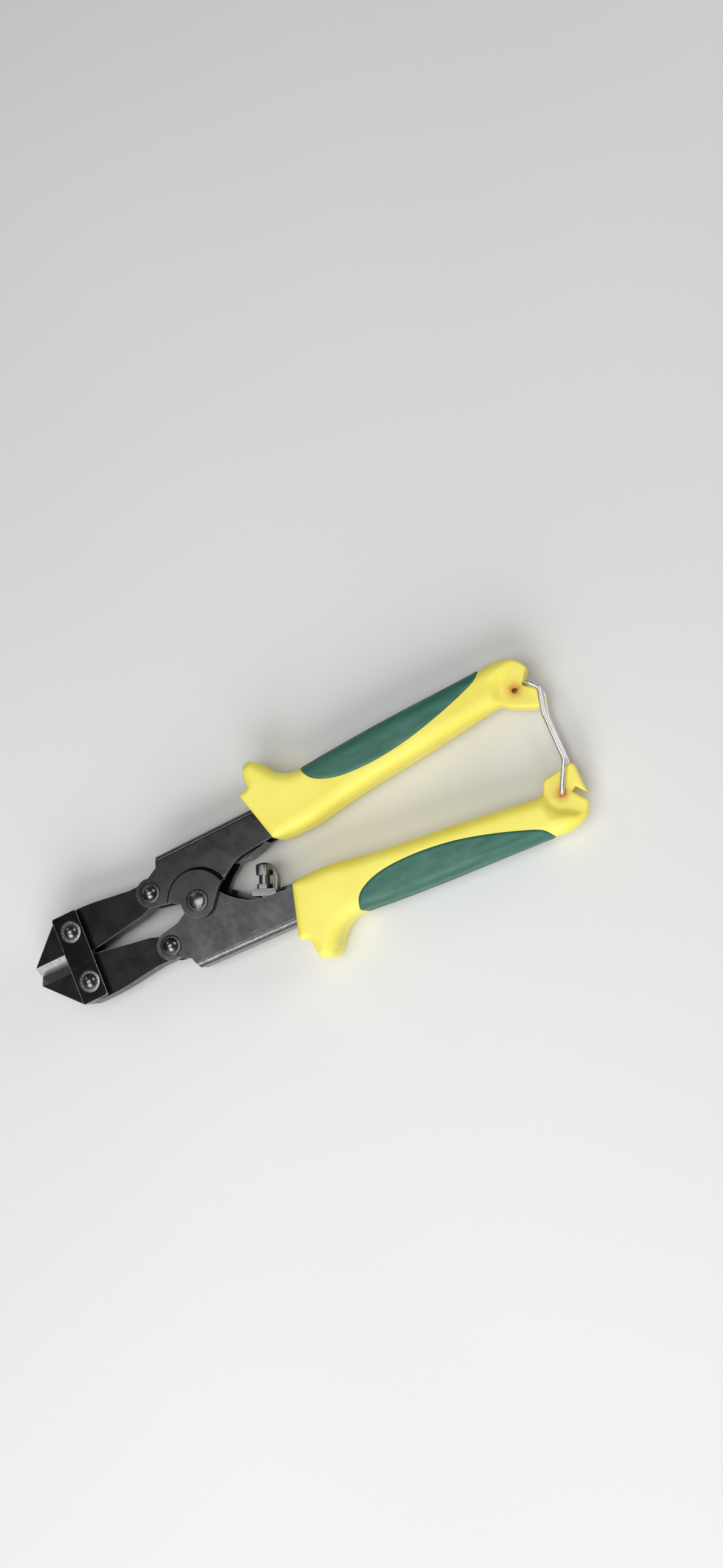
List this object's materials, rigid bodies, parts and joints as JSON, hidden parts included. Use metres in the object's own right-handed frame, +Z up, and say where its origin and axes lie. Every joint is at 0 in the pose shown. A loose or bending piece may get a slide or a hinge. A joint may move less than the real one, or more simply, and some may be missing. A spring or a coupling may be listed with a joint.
{
  "type": "bolt cutter",
  "caption": "Small compound bolt cutter with riveted head plates, stamped channel arms, two-colour moulded grips and a wire bail that latches the handles shut.",
  "frame": {"origin": "middle of the tool's box, on the surface that it lies on", "axes": "+X from the jaws to the handle ends, +Y towards the upper handle, +Z up through the tool's thickness, along all its pivots"},
  "size_m": [0.2086, 0.0752, 0.0192],
  "materials": {
    "head_plate": "satin black oxide, worn at the edges",
    "jaw": "dark hardened steel with light ground bands beside the cutting edge",
    "arm": "satin black oxide over stamped sheet",
    "rivet": "dark polished steel",
    "washer": "plain steel",
    "spacer": "plain turned steel",
    "stop": "zinc plated steel",
    "grip": "hard moulded plastic, lemon yellow",
    "inlay": "soft moulded inlay, deep green",
    "bail": "zinc plated spring wire"
  },
  "bodies": {
    "head": {"head_plate_front": "head_plate", "head_plate_back": "head_plate", "jaw_rivet_upper": "rivet", "jaw_rivet_lower": "rivet", "jaw_washers": "washer"},
    "upper_jaw": {"jaw_upper": "jaw"},
    "lower_jaw": {"jaw_lower": "jaw"},
    "upper_handle": {"arm_upper": "arm", "link_rivet_upper": "rivet", "link_washers_upper": "washer", "centre_rivet": "rivet", "centre_spacer": "spacer", "centre_washers": "washer", "grip_upper": "grip", "inlay_upper": "inlay"},
    "lower_handle": {"arm_lower": "arm", "link_rivet_lower": "rivet", "link_washers_lower": "washer", "stop_bridge": "arm", "stop_screw": "stop", "stop_locknut": "stop", "stop_tab_washer": "stop", "grip_lower": "grip", "inlay_lower": "inlay"},
    "bail": {"bail": "bail"}
  },
  "joints": [
    {"name": "handles_open", "type": "hinge", "parent": "upper_jaw", "child": "upper_handle", "pos_m": [-0.05249, 0.0102, 0.0096], "axis": [0, 0, 1], "range_deg": [0, 17.6]},
    {"name": "upper_jaw_pivot", "type": "hinge", "parent": "head", "child": "upper_jaw", "pos_m": [-0.08529, 0.0096, 0.0096], "axis": [0, 0, -1], "range_deg": [0, 6]},
    {"name": "lower_jaw_pivot", "type": "hinge", "parent": "head", "child": "lower_jaw", "pos_m": [-0.08529, -0.0096, 0.0096], "axis": [0, 0, 1], "range_deg": [0, 6]},
    {"name": "lower_link_pivot", "type": "hinge", "parent": "lower_jaw", "child": "lower_handle", "pos_m": [-0.05249, -0.0102, 0.0096], "axis": [0, 0, -1], "range_deg": [0, 17.6]},
    {"name": "bail_swing", "type": "hinge", "parent": "lower_handle", "child": "bail", "pos_m": [0.09531, -0.0196, 0.0096], "axis": [0, 0, -1], "range_deg": [0, 110]}
  ],
  "couplings": [
    {"joint": "upper_jaw_pivot", "follows": "handles_open", "ratio": 0.33926},
    {"joint": "lower_jaw_pivot", "follows": "handles_open", "ratio": 0.33926},
    {"joint": "lower_link_pivot", "follows": "handles_open", "ratio": 1},
    {"joint": "bail_swing", "follows": "handles_open", "ratio": 6.22}
  ]
}
